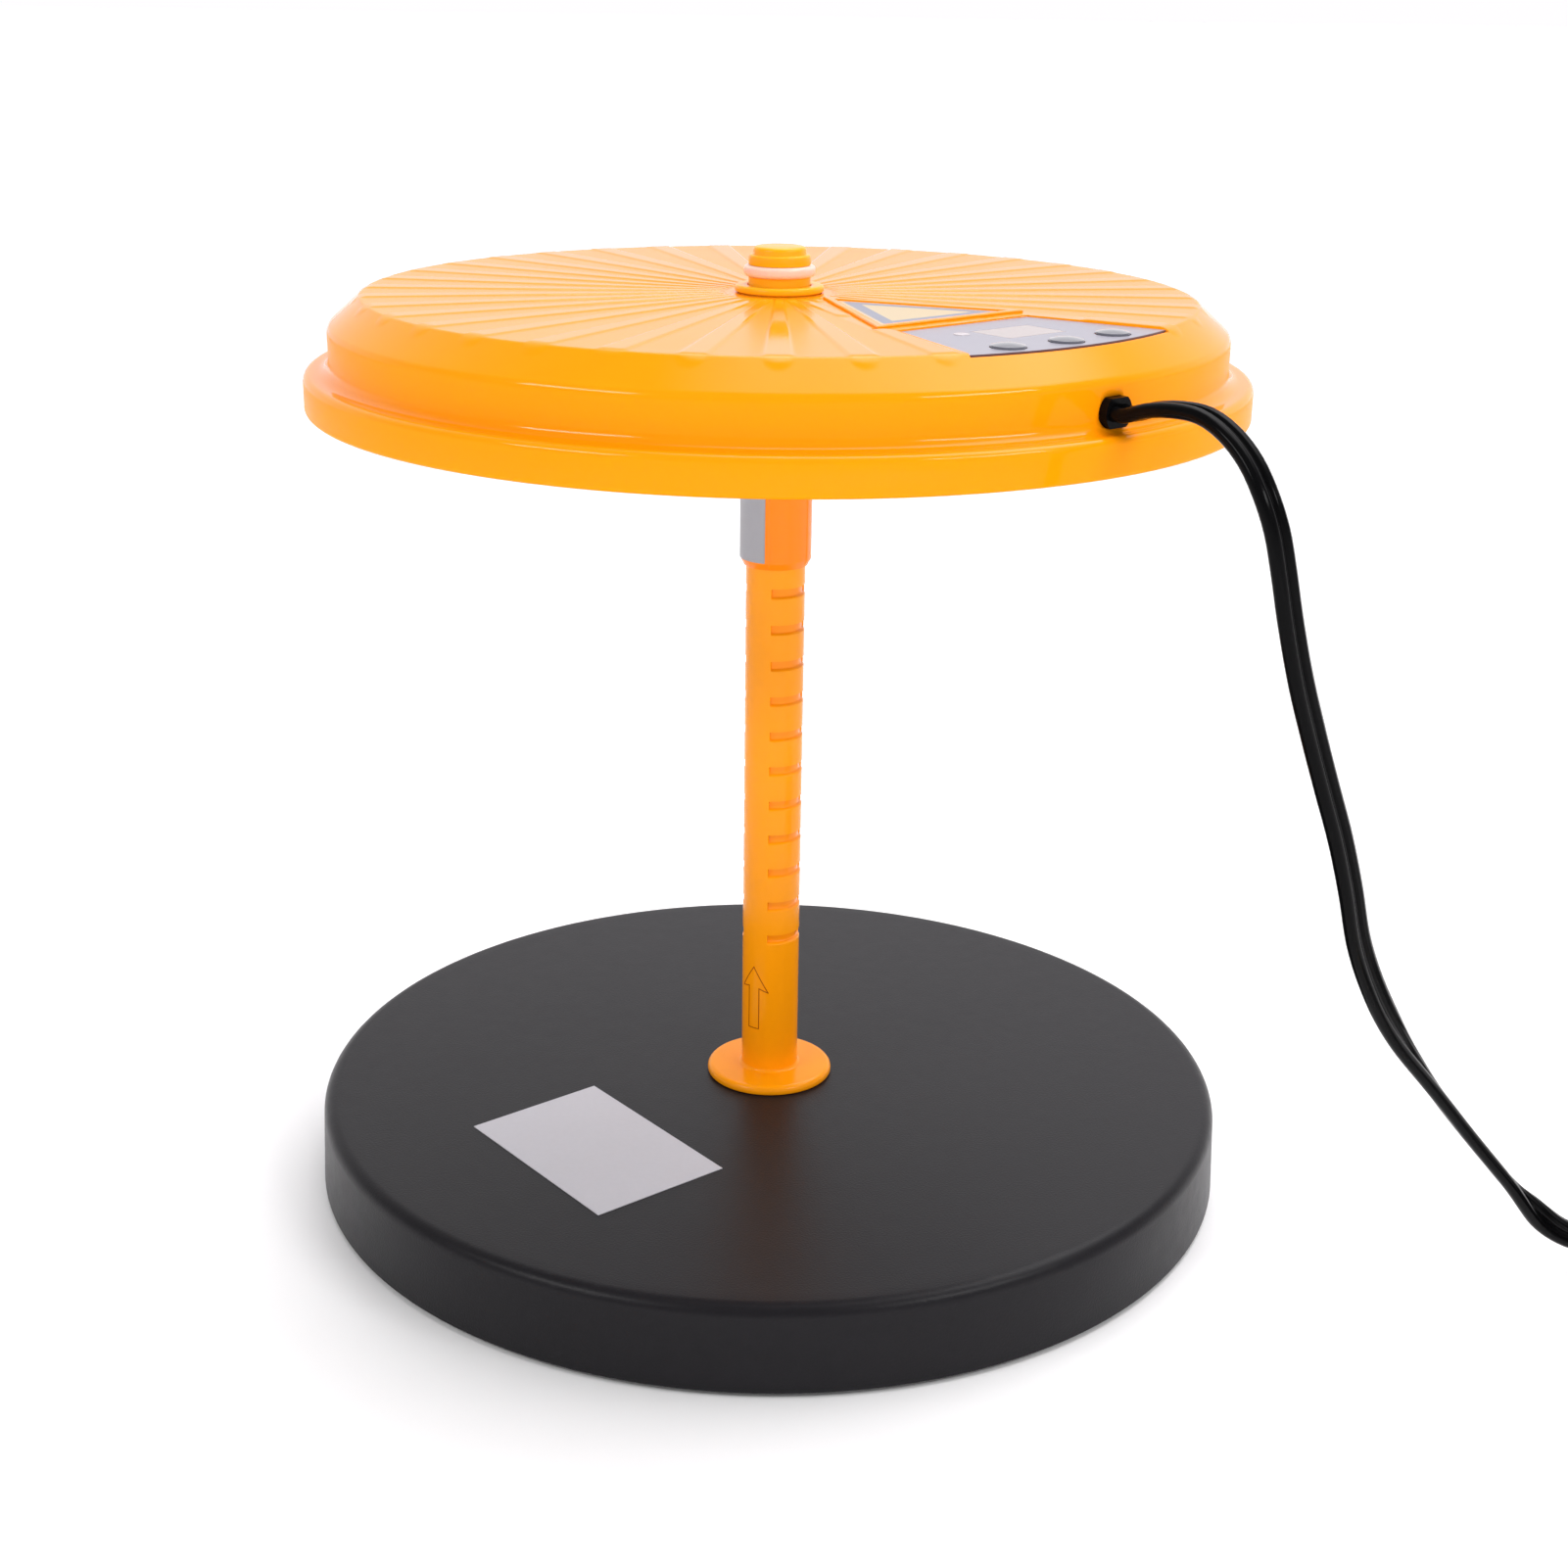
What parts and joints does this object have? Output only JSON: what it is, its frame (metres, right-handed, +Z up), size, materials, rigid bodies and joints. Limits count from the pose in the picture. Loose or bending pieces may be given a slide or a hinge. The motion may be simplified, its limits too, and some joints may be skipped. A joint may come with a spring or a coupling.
{
  "type": "brooder heater plate",
  "caption": "Round ribbed heater plate on a notched post and weighted round base, with lock collar, control panel and mains cord; its height is set for growing chicks.",
  "frame": {"origin": "centre of the base, on the floor that its feet stand on", "axes": "+Z up along the post, -Y towards the front, +X to the right seen from the front"},
  "size_m": [0.4489, 0.2961, 0.2583],
  "materials": {
    "base_black": "fine matte texture",
    "rubber": "matte",
    "weight_iron": "bare",
    "label": "satin film",
    "cream_label": "satin film",
    "orange_post": "semi gloss",
    "orange_cover": "gloss",
    "orange_collar": "semi gloss",
    "pale_nylon": "translucent pale nylon",
    "aluminium": "satin",
    "steel": "zinc plated",
    "mat": "silicone rubber",
    "felt": "glass fibre felt",
    "board": "solder mask",
    "component_black": "moulded",
    "component_blue": "moulded",
    "terminal_green": "moulded",
    "led": "clear red",
    "wire_red": "silicone",
    "panel_film": "satin printed film",
    "window": "clear film",
    "button_grey": "satin",
    "cord_black": "glossy vinyl",
    "tie_black": "nylon",
    "brass": "plain"
  },
  "bodies": {
    "stand": {"base_shell": "base_black", "base_cover": "base_black", "base_screws": "steel", "rubber_feet": "rubber", "counterweight": "weight_iron", "rating_label": "label", "post": "orange_post", "post_screw": "steel", "post_washer": "steel", "stop_ring": "pale_nylon", "post_cap": "orange_post", "cord_lead": "cord_black", "cord_coil": "cord_black", "cord_tie": "tie_black", "plug_body": "cord_black", "plug_blades": "brass"},
    "heater": {"top_cover": "orange_cover", "heat_plate": "aluminium", "plate_screws": "steel", "heating_mat": "mat", "insulation_felt": "felt", "thermal_cutout": "pale_nylon", "temperature_sensor": "board", "control_board": "board", "board_screws": "steel", "display_module": "component_black", "tact_switches": "component_black", "status_led": "led", "relay": "component_blue", "capacitor": "component_blue", "terminal_block": "terminal_green", "heater_leads": "wire_red", "sensor_lead": "pale_nylon", "control_panel": "panel_film", "display_window": "window", "triangle_label": "cream_label", "cord_bush": "cord_black", "cord_inner": "cord_black", "cord_clamp": "pale_nylon", "clamp_screws": "steel"},
    "collar": {"lock_collar": "orange_collar", "lock_tongues": "steel", "retaining_ring": "steel", "collar_label": "label"},
    "left_key": {"left_button": "button_grey"},
    "middle_key": {"middle_button": "button_grey"},
    "right_key": {"right_button": "button_grey"}
  },
  "joints": [
    {"name": "plate_height", "type": "slide", "parent": "stand", "child": "heater", "axis": [0, 0, 1], "range_m": [-0.11, 0], "deforming": ["cord_lead", "lock_tongues"]},
    {"name": "collar_turn", "type": "hinge", "parent": "heater", "child": "collar", "pos_m": [0, 0, 0.2], "axis": [0, 0, 1], "range_deg": [0, 90], "deforming": ["lock_tongues"]},
    {"name": "left_press", "type": "slide", "parent": "heater", "child": "left_key", "axis": [0, 0, 1], "range_m": [-0.0006, 0], "stiffness_N_per_m": 2500, "springref_m": 0.0002},
    {"name": "middle_press", "type": "slide", "parent": "heater", "child": "middle_key", "axis": [0, 0, 1], "range_m": [-0.0006, 0], "stiffness_N_per_m": 2500, "springref_m": 0.0002},
    {"name": "right_press", "type": "slide", "parent": "heater", "child": "right_key", "axis": [0, 0, 1], "range_m": [-0.0006, 0], "stiffness_N_per_m": 2500, "springref_m": 0.0002}
  ]
}
